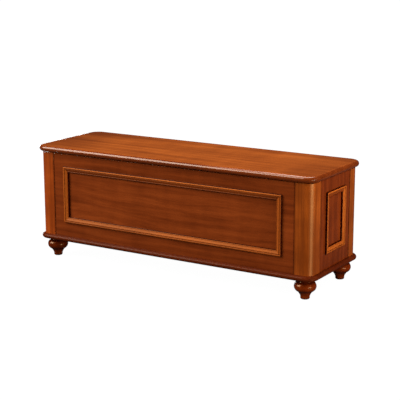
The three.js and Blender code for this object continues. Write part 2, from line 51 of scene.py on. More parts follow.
POST_LOW, POST_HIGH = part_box("post_rear_right")
LID_LOW, LID_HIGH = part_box("lid_top")
RAIL_LOW, RAIL_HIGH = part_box("base_rail_rear")
SIDE_RAIL_LOW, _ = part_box("base_rail_right")
BACK_LOW, BACK_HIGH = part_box("back_board")
CASE_HALF_X, CASE_HALF_Y = POST_HIGH.x, POST_HIGH.y
JOINT_X, JOINT_Y = POST_LOW.x, POST_LOW.y
BASE_TOP, CASE_TOP = POST_LOW.z, POST_HIGH.z
POST_RADIUS = 32 * MM
BOARD_THICKNESS = BACK_HIGH.y - BACK_LOW.y
TONGUE = BACK_HIGH.x - JOINT_X
TONGUE_THICKNESS = 8 * MM
SLACK = 0.3 * MM
SHOULDER_GAP = 0.1 * MM


def mm(*values):
    """Millimetres as a tuple of metres."""
    return tuple(value * MM for value in values)


def fade(distance, reach):
    """1 at no distance, falling evenly to 0 at a reach and beyond."""
    return max(0.0, 1 - abs(distance) / reach)


def outward(azimuth, elevation):
    """Direction from the chest, with the azimuth turned from the front (-Y) towards +X, in degrees."""
    a, e = math.radians(azimuth), math.radians(elevation)
    return Vector((math.sin(a) * math.cos(e), -math.cos(a) * math.cos(e), math.sin(e)))


# ---- material nodes ----------------------------------------------------------------------------

class Nodes:
    """Short ways to add and link shader nodes in one material."""

    def __init__(self, name):
        self.material = bpy.data.materials.new(name)
        self.material.use_nodes = True
        self.tree = self.material.node_tree
        self.shader = self.tree.nodes["Principled BSDF"]

    def add(self, kind, inputs=None, **settings):
        node = self.tree.nodes.new(kind)
        for key, value in settings.items():
            setattr(node, key, value)
        for key, value in (inputs or {}).items():
            self.feed(node.inputs[key], value)
        return node

    def feed(self, socket, value):
        if isinstance(value, bpy.types.NodeSocket):
            self.tree.links.new(value, socket)
        else:
            socket.default_value = value

    def surface(self, inputs):
        """Feeds the shader's own sockets and gives the finished material."""
        for key, value in inputs.items():
            self.feed(self.shader.inputs[key], value)
        return self.material

    def place(self):
        """A point of the surface in the chest's own frame, in metres."""
        return self.add("ShaderNodeTexCoord").outputs["Object"]

    def split(self, vector):
        return self.add("ShaderNodeSeparateXYZ", {"Vector": vector}).outputs

    def math(self, operation, a, b=0.0):
        return self.add("ShaderNodeMath", {0: a, 1: b}, operation=operation).outputs[0]

    def vector(self, operation, a, b):
        return self.add("ShaderNodeVectorMath", {0: a, 1: b}, operation=operation).outputs[0]

    def scale(self, vector, by):
        return self.add("ShaderNodeVectorMath", {0: vector, "Scale": by}, operation="SCALE").outputs[0]

    def noise(self, place, scale, detail=2.0, roughness=0.5):
        """Noise from 0 to 1 at a place stretched by a scale per axis, in cycles per metre."""
        stretched = self.vector("MULTIPLY", place, scale)
        inputs = {"Vector": stretched, "Scale": 1.0, "Detail": detail, "Roughness": roughness}
        return self.add("ShaderNodeTexNoise", inputs).outputs["Fac"]

    def spread(self, value, middle, width):
        """A value from 0 to 1 as one of the given width around a middle."""
        return self.math("ADD", self.math("MULTIPLY", value, width), middle - width / 2)

    def ramp(self, value, stops):
        node = self.add("ShaderNodeValToRGB", {"Fac": value})
        elements = node.color_ramp.elements
        while len(elements) < len(stops):
            elements.new(0.5)
        for element, (position, colour) in zip(elements, stops):
            element.position = position
            element.color = (*colour, 1.0)
        return node.outputs["Color"]

    def bump(self, height, strength, distance):
        inputs = {"Height": height, "Strength": strength, "Distance": distance}
        return self.add("ShaderNodeBump", inputs).outputs["Normal"]


# ---- wood --------------------------------------------------------------------------------------

# Which axes of the chest lie along the grain and across it.
AXES = {"x": (0, 1, 2), "y": (1, 2, 0), "z": (2, 0, 1)}

# Scales of noise are in cycles per metre: along the grain, and twice across it.
SWAY_SCALE = (2.2, 6.0, 6.0)
RIPPLE_SCALE = (1.6, 9.0, 9.0)
RIPPLE = 50 * MM
PITH = mm(310, -370)
RING_PITCH = 16 * MM
RING_WEIGHT = 0.07

# Each scale of figure in the wood: its noise, its detail, and how much it adds to the tone.
FIGURE = (
    ((0.5, 9.0, 9.0), 2.0, 0.30),
    ((1.7, 34.0, 34.0), 2.0, 0.30),
    ((3.0, 110.0, 110.0), 2.0, 0.26),
    ((10.0, 480.0, 480.0), 2.0, 0.16),
    ((5.0, 8.0, 8.0), 3.0, 0.26),
    ((17.0, 4.0, 4.0), 2.0, 0.16),
)
FIGURE_ROUGHNESS = 0.55
STAIN_STOPS = (0.34, 0.5, 0.66)

PORE_SCALE = (38.0, 1300.0, 1300.0)
PORE_LIMIT = 0.64
PORE_SHADE = 0.20
PORE_BUMP = -0.08
PORE_DEPTH = 0.03 * MM
POLISH_SCALE = (8.0, 30.0, 30.0)
POLISH_SPREAD = 0.10
COAT_ROUGHNESS = 0.10

# Red, green and blue that full darkening takes away, for gathered stain and painted shade alike.
DARKENING_TAKES = (0.84, 0.97, 0.98)

# The tint of the lacquer's highlights.
WARM = (1.0, 0.52, 0.18, 1.0)

# Roughness, specular level and coat weight of each finish.
FINISH = {
    "polished": (0.21, 0.4, 0.6),
    "satin": (0.27, 0.4, 0.12),
    "rubbed": (0.32, 0.95, 0.0),
    "moulded": (0.40, 0.25, 0.0),
    "dull": (0.38, 0.10, 0.05),
    "turned": (0.19, 0.60, 0.12),
    "bare": (0.45, 0.4, 0.0),
}


def grain_place(nodes, grain, offset, sway_by):
    """A point as (along the grain, across, across), shifted, with its grain lines swaying a little."""
    parts = nodes.split(nodes.place())
    along, across, depth = (parts[axis] for axis in AXES[grain])
    joined = nodes.add("ShaderNodeCombineXYZ", {"X": along, "Y": across, "Z": depth}).outputs[0]
    place = nodes.vector("ADD", joined, offset)
    sway = nodes.math("SUBTRACT", nodes.noise(place, SWAY_SCALE), 0.5)
    drift = nodes.add("ShaderNodeCombineXYZ", {"Y": sway, "Z": sway}).outputs[0]
    return nodes.vector("ADD", place, nodes.scale(drift, sway_by))


def growth_rings(nodes, place):
    """Growth rings from 0 to 1 around the pith line."""
    _, across, depth = nodes.split(place)
    across = nodes.math("SUBTRACT", across, PITH[0])
    depth = nodes.math("SUBTRACT", depth, PITH[1])
    squares = nodes.math("ADD", nodes.math("POWER", across, 2.0), nodes.math("POWER", depth, 2.0))
    ripple = nodes.math("MULTIPLY", nodes.noise(place, RIPPLE_SCALE, 3.0), RIPPLE)
    from_pith = nodes.math("ADD", nodes.math("SQRT", squares), ripple)
    return nodes.math("PINGPONG", nodes.math("DIVIDE", from_pith, RING_PITCH), 1.0)


def figure_tone(nodes, place, figure):
    """Tone around 0.5 from the growth rings and every scale of figure."""
    tone = nodes.spread(growth_rings(nodes, place), 0.5, RING_WEIGHT * figure)
    for scale, detail, weight in FIGURE:
        noise = nodes.noise(place, scale, detail, FIGURE_ROUGHNESS)
        tone = nodes.math("ADD", nodes.spread(noise, 0.0, weight * figure), tone)
    return tone


def shade_near(nodes, axis, distance, reach, strength):
    """Darkening at a distance along one axis, on both sides of the middle, fading over a reach: stain in
    the joints, painted shade under the lid and above the base, and a darker lid towards its ends.
    """
    position = nodes.split(nodes.place())[axis]
    away = nodes.math("SUBTRACT", nodes.math("ABSOLUTE", position), distance)
    inputs = {"Value": nodes.math("ABSOLUTE", away), "From Max": reach, "To Min": strength, "To Max": 0.0}
    return nodes.add("ShaderNodeMapRange", inputs, interpolation_type="SMOOTHSTEP").outputs[0]


def colour_kept(nodes, stains_and_shades):
    """Share of each colour left after darkening, from the mesh's own painted shade and from each stain and
    shade given, whichever darkens most.
    """
    gathered = nodes.add("ShaderNodeAttribute", attribute_name="tone").outputs["Fac"]
    for shade in stains_and_shades:
        gathered = nodes.math("MAXIMUM", gathered, shade_near(nodes, *shade))
    return nodes.vector("SUBTRACT", (1.0, 1.0, 1.0), nodes.scale(DARKENING_TAKES, gathered))


def wood(name, grain, colours, offset=(0, 0, 0), figure=1.0, finish="satin", sway=22 * MM, stains_and_shades=()):
    """Stained wood under clear lacquer, with its grain along an axis of the chest."""
    roughness, gloss, coat = FINISH[finish]
    nodes = Nodes(name)
    place = grain_place(nodes, grain, offset, sway)
    figured = nodes.ramp(figure_tone(nodes, place, figure), list(zip(STAIN_STOPS, colours)))
    pores = nodes.math("GREATER_THAN", nodes.noise(place, PORE_SCALE, 1.0), PORE_LIMIT)
    between_pores = nodes.math("SUBTRACT", 1.0, nodes.math("MULTIPLY", pores, PORE_SHADE))
    grained = nodes.scale(figured, between_pores)
    return nodes.surface({
        # Base colour darkened by painted shade and by stain gathered in the joints.
        "Base Color": nodes.vector("MULTIPLY", grained, colour_kept(nodes, stains_and_shades)),
        "Roughness": nodes.spread(nodes.noise(place, POLISH_SCALE), roughness, POLISH_SPREAD),
        "Normal": nodes.bump(pores, PORE_BUMP, PORE_DEPTH),
        "Specular IOR Level": gloss,
        "Specular Tint": WARM,
        "Coat Weight": coat,
        "Coat Roughness": COAT_ROUGHNESS,
    })


# How strongly the darks and the lights of a stain move from its middle, in red, green and blue.
DARK_PULL = (1.0, 1.15, 1.2)
LIGHT_PULL = (1.0, 1.3, 1.5)


def stain(*middle, contrast=0.30):
    """Dark, middle and light of a stain, from its middle in linear RGB."""
    dark = [channel * (1 - pull * contrast) for channel, pull in zip(middle, DARK_PULL)]
    light = [channel * (1 + pull * contrast) for channel, pull in zip(middle, LIGHT_PULL)]
    return dark, middle, light


LID_STAIN = stain(0.465, 0.098, 0.0124)
BOARD_STAIN = stain(0.240, 0.0390, 0.0056, contrast=0.34)
SIDE_STAIN = stain(0.192, 0.0275, 0.0032, contrast=0.36)
LEFT_POST_STAIN = stain(0.430, 0.065, 0.0050)
RIGHT_POST_STAIN = stain(0.325, 0.058, 0.0048)
MOULDING_STAIN = stain(0.52, 0.110, 0.012)
BASE_STAIN = stain(0.130, 0.018, 0.0035)
FOOT_STAIN = stain(0.180, 0.0205, 0.0014, contrast=0.40)
INNER_STAIN = stain(0.36, 0.130, 0.036, contrast=0.2)


# ---- metal, nylon and rubber -------------------------------------------------------------------

DULL_PATCHES = (55.0, 55.0, 55.0)
DULLED = 0.72
RUBBED_LINES = (60.0, 60.0, 900.0)
RUBBED_SPREAD = 0.2
RUBBED_BUMP = 0.12
RUBBED_DEPTH = 0.05 * MM

MOULD_GRAIN = (900.0, 900.0, 900.0)
MOULD_BUMP = 0.2
MOULD_DEPTH = 0.1 * MM
WORN_PATCHES = (90.0, 90.0, 90.0)
WORN_GAIN = 1.5
WORN_LIFT = 0.01


def metal(name, colour, roughness):
    """Bare metal with fine rubbed lines and slightly dulled patches."""
    nodes = Nodes(name)
    place = nodes.place()
    patches = nodes.noise(place, DULL_PATCHES, 3.0)
    dull = [channel * DULLED for channel in colour]
    lines = nodes.noise(place, RUBBED_LINES)
    return nodes.surface({
        "Base Color": nodes.ramp(patches, [(0.3, dull), (0.6, colour)]),
        "Roughness": nodes.spread(lines, roughness, RUBBED_SPREAD),
        "Normal": nodes.bump(lines, RUBBED_BUMP, RUBBED_DEPTH),
        "Metallic": 1.0,
    })


def plastic(name, colour, roughness):
    """Dark nylon or rubber with a fine grain from its mould."""
    nodes = Nodes(name)
    place = nodes.place()
    worn = nodes.noise(place, WORN_PATCHES)
    pale = [channel * WORN_GAIN + WORN_LIFT for channel in colour]
    return nodes.surface({
        "Base Color": nodes.ramp(worn, [(0.35, colour), (0.8, pale)]),
        "Roughness": roughness,
        "Normal": nodes.bump(nodes.noise(place, MOULD_GRAIN), MOULD_BUMP, MOULD_DEPTH),
    })


BRASS = metal("satin_brass", (0.48, 0.32, 0.12), 0.56)
STEEL = metal("plated_steel", (0.50, 0.50, 0.51), 0.38)
NYLON = plastic("dark_nylon", (0.022, 0.018, 0.016), 0.55)
RUBBER = plastic("brown_rubber", (0.040, 0.024, 0.017), 0.75)


# ---- mesh building -----------------------------------------------------------------------------

EASE_FROM = 40


def build(name, vertices, faces, material, body, replaces=(), tones=None, sharp=35):
    """A piece from vertices and faces, smooth up to an angle in degrees, riding on a body."""
    mesh = bpy.data.meshes.new(name)
    mesh.from_pydata([tuple(v) for v in vertices], [], faces)
    if tones is not None:
        mesh.attributes.new("tone", "FLOAT", "POINT").data.foreach_set("value", tones)
    shape = bmesh.new()
    shape.from_mesh(mesh)
    bmesh.ops.recalc_face_normals(shape, faces=shape.faces)
    shape.to_mesh(mesh)
    shape.free()
    mesh.shade_smooth()
    mesh.set_sharp_from_angle(angle=math.radians(sharp))
    mesh.materials.append(material)
    piece = bpy.data.objects.new(name, mesh)
    SCENE.collection.objects.link(piece)
    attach(piece, body)
    if replaces:
        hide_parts(*replaces)
    return piece


def ease(piece, width, segments=3):
    """Rounds a piece's sharp edges over by a width."""
    bevel = piece.modifiers.new("eased_edges", "BEVEL")
    bevel.width = width
    bevel.segments = segments
    bevel.limit_method = "ANGLE"
    bevel.angle_limit = math.radians(EASE_FROM)
    bevel.harden_normals = True
    bevel.miter_outer = "MITER_ARC"
    return piece


class Shape:
    """Vertices and faces gathered from several lofts into one mesh."""

    def __init__(self):
        self.vertices = []
        self.faces = []
        self.tones = []

    def loft(self, rings, matrix=None, tones=None, loop=False):
        """Faces between rings of the same number of points, capped at both ends or joined in a loop."""
        first = len(self.vertices)
        count = len(rings[0])
        for index, ring in enumerate(rings):
            for i, point in enumerate(ring):
                vertex = Vector(point)
                self.vertices.append(matrix @ vertex if matrix else vertex)
                self.tones.append(tones[index][i] if tones else 0.0)
        for ring in range(len(rings) if loop else len(rings) - 1):
            low = first + ring * count
            high = first + ((ring + 1) % len(rings)) * count
            for i in range(count):
                j = (i + 1) % count
                self.faces.append((low + i, low + j, high + j, high + i))
        if not loop:
            last = first + (len(rings) - 1) * count
            self.faces.append(tuple(range(first, first + count)))
            self.faces.append(tuple(range(last, last + count)))
        return self

    def prism(self, outline, low, high, matrix=None):
        """An outline in x and y, raised from one height to another."""
        rings = [[(x, y, z) for x, y in outline] for z in (low, high)]
        return self.loft(rings, matrix)

    def block(self, low, high, matrix=None):
        outline = [(low[0], low[1]), (high[0], low[1]), (high[0], high[1]), (low[0], high[1])]
        return self.prism(outline, low[2], high[2], matrix)

    def build(self, name, material, slot, body, replaces=(), sharp=35):
        return build(name, self.vertices, self.faces, material, body, replaces, self.tones, sharp)


def arc(centre, radius, start, end, steps):
    """Points on an arc, angles in degrees, both ends included."""
    points = []
    for step in range(steps + 1):
        angle = math.radians(start + (end - start) * step / steps)
        points.append((centre[0] + radius * math.cos(angle), centre[1] + radius * math.sin(angle)))
    return points


def circle(centre, radius, steps):
    """Points round a circle, its start not repeated at the end."""
    return arc(centre, radius, 0, 360 - 360 / steps, steps - 1)


def curve(start, handle, end, steps):
    """Points on a quadratic curve after its start, the end included."""
    points = []
    for step in range(1, steps + 1):
        t = step / steps
        parts = ((1 - t) ** 2, 2 * t * (1 - t), t * t)
        points.append(tuple(sum(w * p[i] for w, p in zip(parts, (start, handle, end))) for i in (0, 1)))
    return points


# ---- lid and base: slabs with a half-round edge -------------------------------------------------

EDGE_STEPS = 14
CORNER_STEPS = 20
CORNER_START = {(1, 1): 0, (-1, 1): 90, (-1, -1): 180, (1, -1): 270}

# Width of the flat ring inside the half-round, above and below.
LAND = 1.5 * MM

# Painted shade on the half-round edges, gone over the last quarter of the turn, and darker colour on the
# lid towards its ends.
LID_EDGE_PAINTED_SHADE = 0.74
BASE_EDGE_PAINTED_SHADE = 0.2
EDGE_TONE_FADE = 0.25
LID_END_REACH = 320 * MM
LID_END_TONE = 0.36

KNUCKLE = 3.2 * MM
HINGE_LENGTH = 64 * MM
HINGE_ROOM = 0.8 * MM
PIN_HEAD = 1.4 * MM
POCKET_BELOW = 1 * MM


def half_round_levels(bottom, thickness):
    """Inset and height of each outline, from the flat underside round the edge to the flat top."""
    radius = thickness / 2
    levels = [(radius + LAND, bottom)]
    for step in range(EDGE_STEPS + 1):
        angle = math.pi * (step / EDGE_STEPS - 0.5)
        levels.append((radius * (1 - math.cos(angle)), bottom + radius * (1 + math.sin(angle))))
    levels.append((radius + LAND, bottom + thickness))
    return levels


def corner_arc(signs, half_x, half_y, radius, inset):
    """A rounded corner of an outline, drawn counter-clockwise."""
    start = CORNER_START[signs]
    centre = (signs[0] * (half_x - radius), signs[1] * (half_y - radius))
    return arc(centre, radius - inset, start, start + 90, CORNER_STEPS)


def slab_rings(half_x, half_y, radius, bottom, thickness):
    """Outlines of a round-cornered slab, from its underside to its top."""
    rings = []
    for inset, height in half_round_levels(bottom, thickness):
        outline = []
        for signs in CORNER_START:
            outline += corner_arc(signs, half_x, half_y, radius, inset)
        rings.append([(x, y, height) for x, y in outline])
    return rings


def edge_painted_shade(rings, strength):
    """Painted shade round a half-round edge, gone at the flats above and below."""
    tones = []
    for index, ring in enumerate(rings):
        turned_by = abs(index - (len(rings) - 1) / 2) / (EDGE_STEPS / 2)
        tone = strength * min(1.0, max(0.0, (1.0 - turned_by) / EDGE_TONE_FADE))
        tones.append([tone] * len(ring))
    return tones


def pin_axis(side):
    """Where a hinge's pin runs, in y and z."""
    low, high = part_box(f"hinge_{side}_pin")
    return (low.y + high.y) / 2, (low.z + high.z) / 2


def cut_pockets(piece, shape):
    """Takes a shape's volume out of a piece."""
    mesh = bpy.data.meshes.new("cutter")
    mesh.from_pydata([tuple(v) for v in shape.vertices], [], shape.faces)
    cutter = bpy.data.objects.new("cutter", mesh)
    SCENE.collection.objects.link(cutter)
    boolean = piece.modifiers.new("pockets", "BOOLEAN")
    boolean.operation = "DIFFERENCE"
    boolean.object = cutter
    evaluated = piece.evaluated_get(bpy.context.evaluated_depsgraph_get())
    piece.data = bpy.data.meshes.new_from_object(evaluated)
    piece.modifiers.remove(boolean)
    bpy.data.objects.remove(cutter)


def make_lid():
    """The lid, cut away round each hinge so that it clears the knuckles."""
    radius = POST_RADIUS + LID_HIGH.x - CASE_HALF_X
    rings = slab_rings(LID_HIGH.x, LID_HIGH.y, radius, LID_LOW.z, LID_HIGH.z - LID_LOW.z)
    ends = [(0, LID_HIGH.x, LID_END_REACH, LID_END_TONE)]
    material = wood("lid_grain", "x", LID_STAIN, (0.3, 0.11, 0.0), 1.35, "polished", stains_and_shades=ends)
    slab = Shape().loft(rings, tones=edge_painted_shade(rings, LID_EDGE_PAINTED_SHADE))
    lid = slab.build("lid_slab", material, "lid_wood", "lid", ["lid_top"])
    pockets = Shape()
    room = KNUCKLE + HINGE_ROOM
    for side in ("left", "centre", "right"):
        low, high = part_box(f"hinge_{side}_pin")
        y, z = pin_axis(side)
        near = (low.x - HINGE_ROOM - SLACK, y - room, LID_LOW.z - POCKET_BELOW)
        pockets.block(near, (high.x + HINGE_ROOM + SLACK, y + room, z + room))
    cut_pockets(lid, pockets)


def build_rail(name, rings, grain, offset):
    """One rail of the base from its outlines."""
    material = wood(f"base_grain_{name}", grain, BASE_STAIN, offset, finish="dull")
    shape = Shape().loft(rings, tones=edge_painted_shade(rings, BASE_EDGE_PAINTED_SHADE))
    shape.build(f"base_{name}", material, "base_wood", "case", [f"base_rail_{name}"])


def make_base():
    """Four rails with the half-round edge outside: two long ones and two between them."""
    half_x, half_y = RAIL_HIGH.x, RAIL_HIGH.y
    radius = POST_RADIUS + half_x - CASE_HALF_X
    inner_x, inner_y = SIDE_RAIL_LOW.x, RAIL_LOW.y
    levels = half_round_levels(RAIL_LOW.z, RAIL_HIGH.z - RAIL_LOW.z)
    for name, sign in (("front", -1), ("rear", 1)):
        rings = []
        for inset, height in levels:
            outline = corner_arc((1, 1), half_x, half_y, radius, inset)
            outline += corner_arc((-1, 1), half_x, half_y, radius, inset)
            outline += [(inset - half_x, inner_y), (half_x - inset, inner_y)]
            rings.append([(x, sign * y, height) for x, y in outline])
        build_rail(name, rings, "x", (1.0 + sign, 0.7, 0.3))
    for name, sign in (("left", -1), ("right", 1)):
        rings = []
        for inset, height in levels:
            edge = half_x - inset
            outline = [(inner_x, -inner_y), (edge, -inner_y), (edge, inner_y), (inner_x, inner_y)]
            rings.append([(sign * x, y, height) for x, y in outline])
        build_rail(name, rings, "y", (sign, 0.2, 0.9))


# ---- posts --------------------------------------------------------------------------------------

POST_STEPS = 28
POST_EASE = 0.9 * MM

# Stain gathered in the joints between posts and boards.
JOINT_REACH = 5 * MM
JOINT_TONE = 0.72
JOINTS = ((0, JOINT_X, JOINT_REACH, JOINT_TONE), (1, JOINT_Y, JOINT_REACH, JOINT_TONE))


def post_outline():
    """The rear right post: square, its outer corner rounded, a groove for each board's tongue."""
    width = TONGUE_THICKNESS / 2 + SLACK
    depth = TONGUE + SLACK
    middle_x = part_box("right_board")[1].x - BOARD_THICKNESS / 2
    middle_y = (BACK_LOW.y + BACK_HIGH.y) / 2
    centre = (CASE_HALF_X - POST_RADIUS, CASE_HALF_Y - POST_RADIUS)
    outline = [(JOINT_X, JOINT_Y), (middle_x - width, JOINT_Y), (middle_x - width, JOINT_Y + depth)]
    outline += [(middle_x + width, JOINT_Y + depth), (middle_x + width, JOINT_Y), (CASE_HALF_X, JOINT_Y)]
    outline += arc(centre, POST_RADIUS, 0, 90, POST_STEPS)
    outline += [(JOINT_X, CASE_HALF_Y), (JOINT_X, middle_y + width), (JOINT_X + depth, middle_y + width)]
    outline += [(JOINT_X + depth, middle_y - width), (JOINT_X, middle_y - width)]
    return outline


def make_posts():
    """Four posts, mirrored from one outline."""
    outline = post_outline()
    for end, sign_y in (("front", -1), ("rear", 1)):
        for side, sign_x in (("left", -1), ("right", 1)):
            corner = f"{end}_{side}"
            offset = (sign_x * 0.4, sign_y * 0.35, 0.2)
            colours = LEFT_POST_STAIN if side == "left" else RIGHT_POST_STAIN
            material = wood(f"post_grain_{corner}", "z", colours, offset, 2.0, "rubbed", stains_and_shades=JOINTS)
            placed = [(sign_x * x, sign_y * y) for x, y in outline]
            post = Shape().prism(placed, BASE_TOP, CASE_TOP)
            post = post.build(f"corner_post_{corner}", material, "post_wood", "case", [f"post_{corner}"])
            ease(post, POST_EASE)


# ---- mouldings ----------------------------------------------------------------------------------

FIELD_SINK = 4 * MM

# Heights of the moulding above the board.
MOULDING_RISE = 8 * MM
BEAD_SPRING = MOULDING_RISE * 0.42
GROOVE_FLOOR = MOULDING_RISE * 0.6
SHOULDER_TOP = MOULDING_RISE * 0.82
LIP_TOP = MOULDING_RISE * 0.38
WALL_FOOT = MOULDING_RISE * 0.08

# Places across the moulding: the first three from its outer edge, the rest in from its inner edge.
SEAT_SHARE = 15 / 21
GROOVE = 7 * MM
SHOULDER = GROOVE + 1.6 * MM
LIP_START = 4 * MM
LIP_END = 1.2 * MM

# Painted light and shade on the bead, in the groove, on the slope and at the lip of each bar of a
# moulding, each bar lighter or darker by how light falls on it.
MOULDING_PAINTED_SHADING = {
    "bottom": (0.40, 0.85, 0.18, 0.30),
    "right": (0.35, 0.85, 0.20, 0.45),
    "top": (0.00, 0.95, 0.66, 0.95),
    "left": (0.10, 0.95, 0.12, 0.90),
}

# Painted shade on the two walls, and how far each part of the painted shading reaches.
WALL_PAINTED_SHADE = 1.12
OUTER_WALL = 1.1 * MM
INNER_WALL = 0.8 * MM
GROOVE_REACH = 2.2 * MM
LIP_REACH = 4.5 * MM


def panel_matrix(turn, face):
    """From a board's own plane (x along it, y up, z outward) to the chest, turned about Z."""
    upright = Matrix(((1, 0, 0, 0), (0, 0, -1, -face), (0, 1, 0, 0), (0, 0, 0, 1)))
    return Matrix.Rotation(math.radians(turn), 4, "Z") @ upright


def moulding_section(width):
    """Points of the section as (across, rise): a bead, a groove and a long slope down to a lip."""
    seat = width * SEAT_SHARE
    crown = (GROOVE / 2, MOULDING_RISE)
    groove = (GROOVE, GROOVE_FLOOR)
    groove_side = 0.4 * MM
    shoulder = (SHOULDER, SHOULDER_TOP)
    slope_foot = (width - LIP_START, LIP_TOP)
    lip = (width - LIP_END, LIP_TOP)
    wall = (width, WALL_FOOT)
    points = [(0.0, 0.0), (0.0, BEAD_SPRING)]
    points += curve(points[-1], (0.0, MOULDING_RISE), crown, 8)
    points += curve(crown, (GROOVE - groove_side, MOULDING_RISE), groove, 7)
    points += curve(groove, (GROOVE + groove_side, SHOULDER_TOP), shoulder, 5)
    points += curve(shoulder, (width - 1.5 * LIP_START, LIP_TOP + 0.6 * MM), slope_foot, 6)
    points += curve(slope_foot, (width - 2 * LIP_END, LIP_TOP + 1.4 * MM), lip, 6)
    points += curve(lip, (width, LIP_TOP * 0.8), wall, 4)
    points += [(width, -FIELD_SINK), (seat, -FIELD_SINK), (seat, 0.0)]
    return points


def painted_moulding_shade(across, width, edge):
    """Painted light and shade on each part of a moulding, darkest in the groove and on both walls, where
    shade falls.
    """
    on_bead, in_groove, on_slope, at_lip = MOULDING_PAINTED_SHADING[edge]
    if across < OUTER_WALL or across > width - INNER_WALL:
        return WALL_PAINTED_SHADE
    groove = in_groove * fade(across - GROOVE, GROOVE_REACH)
    if across < GROOVE:
        return max(groove, on_bead)
    slope = on_slope + (at_lip - on_slope) * fade(across - (width - LIP_END), LIP_REACH)
    return max(groove, slope)


def make_frame(name, turn, face, level_grain, shift):
    """The four mitred bars around a field, placed by the bars in the frame."""
    matrix = panel_matrix(turn, face)
    inverse = matrix.inverted()
    for edge, quarter in (("bottom", 0), ("right", 1), ("top", 2), ("left", 3)):
        node = f"{name}_moulding_{edge}"
        corners = [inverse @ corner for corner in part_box(node)]
        low = Vector([min(c[i] for c in corners) for i in range(3)])
        high = Vector([max(c[i] for c in corners) for i in range(3)])
        level = quarter % 2 == 0
        length = high.x - low.x if level else high.y - low.y
        width = high.y - low.y if level else high.x - low.x
        centre = (low + high) / 2
        spin = Matrix.Rotation(math.radians(90 * quarter), 4, "Z")
        bar = matrix @ Matrix.Translation((centre.x, centre.y, 0)) @ spin
        section = moulding_section(width)
        rings = []
        for end in (-1, 1):
            ring = [(end * (length / 2 - across), across - width / 2, rise) for across, rise in section]
            rings.append(ring)
        tones = [[painted_moulding_shade(across, width, edge) for across, rise in section]] * 2
        grain = level_grain if level else "z"
        offset = (shift + quarter * 0.37, quarter * 0.21, shift * 0.5)
        material = wood(f"moulding_grain_{name}_{edge}", grain, MOULDING_STAIN, offset, 0.8, "moulded")
        shape = Shape().loft(rings, bar, tones)
        shape.build(f"{name}_bead_{edge}", material, "moulding_wood", "case", [node], sharp=50)


# ---- boards and fields --------------------------------------------------------------------------

BOARD_EASE = 0.8 * MM
FIELD_EASE = 0.4 * MM
BOARD_FIGURE = 1.2
BOARD_SWAY = 40 * MM
FIELD_SWAY = 60 * MM
TONGUE_OVERLAP = 2 * MM

# Painted shade under the lid and, over a wide reach, above the base.
TOP_SHADE = (2, CASE_TOP, 4 * MM, 0.3)
BOTTOM_REACH = 90 * MM
LONG_BOTTOM_SHADE = 0.26
END_BOTTOM_SHADE = 0.3


def rectangle(rect, depth):
    """A ring round a rectangle in a board's own plane."""
    left, low, right, high = rect
    return [(left, low, depth), (right, low, depth), (right, high, depth), (left, high, depth)]


def make_board(name, turn, face, half_width, grain, opening=None, field=None):
    """A board tongued into two posts, with an opening and its field or none."""
    matrix = panel_matrix(turn, face)
    shape = Shape()
    back = -BOARD_THICKNESS
    tongue_low = back / 2 - TONGUE_THICKNESS / 2
    tongue_high = tongue_low + TONGUE_THICKNESS
    if opening:
        outer = (-half_width, BASE_TOP, half_width, CASE_TOP)
        corners = ((outer, 0.0), (outer, back), (opening, back), (opening, 0.0))
        shape.loft([rectangle(rect, depth) for rect, depth in corners], matrix, loop=True)
    else:
        shape.block((-half_width, BASE_TOP, back), (half_width, CASE_TOP, 0.0), matrix)
    for sign in (-1, 1):
        inner, outer = sorted((sign * (half_width - TONGUE_OVERLAP), sign * (half_width + TONGUE)))
        shape.block((inner, BASE_TOP, tongue_low), (outer, CASE_TOP, tongue_high), matrix)
    along_x = turn % 180 == 0
    bottom = (2, BASE_TOP, BOTTOM_REACH, LONG_BOTTOM_SHADE if along_x else END_BOTTOM_SHADE)
    stains_and_shades = (JOINTS[0] if along_x else JOINTS[1], TOP_SHADE, bottom)
    colours = BOARD_STAIN if along_x else SIDE_STAIN
    offset = (0.9 * turn / 90, 0.31, 0.6)
    looks = {"figure": BOARD_FIGURE, "sway": BOARD_SWAY, "stains_and_shades": stains_and_shades}
    material = wood(f"board_grain_{name}", grain, colours, offset, **looks)
    board = shape.build(f"{name}_panel_board", material, "board_wood", "case", [f"{name}_board"])
    ease(board, BOARD_EASE)
    if field:
        left, low, right, high = field
        offset = (0.2, 1.3 + turn / 90, 0.9)
        material = wood(f"field_grain_{name}", grain, colours, offset, BOARD_FIGURE, sway=FIELD_SWAY)
        middle = Shape().block((left, low, back), (right, high, -FIELD_SINK), matrix)
        middle = middle.build(f"{name}_sunk_field", material, "board_wood", "case", [f"{name}_field"])
        ease(middle, FIELD_EASE, 2)


def make_case_walls():
    """The front and the two ends with their fields and mouldings, and the plain back."""
    walls = (("front", 0, "x", "x"), ("right", 90, "z", "y"), ("left", -90, "z", "y"))
    for name, turn, grain, level_grain in walls:
        low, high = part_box(f"{name}_board")
        field_low, field_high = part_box(f"{name}_field")
        face = -low.y if name == "front" else max(abs(low.x), abs(high.x))
        half_width = JOINT_X if name == "front" else JOINT_Y
        field_half = field_high.x if name == "front" else field_high.y
        field = (-field_half, field_low.z, field_half, field_high.z)
        opening = (-field_half - SLACK, field_low.z - SLACK, field_half + SLACK, field_high.z + SLACK)
        make_board(name, turn, face, half_width - SHOULDER_GAP, grain, opening, field)
        make_frame(name, turn, face, level_grain, 0.6 + turn / 200)
    make_board("back", 180, BACK_HIGH.y, JOINT_X - SHOULDER_GAP, "x")


# ---- turned feet --------------------------------------------------------------------------------

FOOT_STEPS = 72
GLIDE_STEPS = 40
FOOT_WIDEST = 39.3 * MM
BULB_RADIUS = 20 * MM
BULB_HEIGHT = 46 * MM
FOOT_NECK = 28.6 * MM
FOOT_COLLAR = FOOT_NECK + 1.2 * MM
COLLAR_HEIGHT = 1.5 * MM

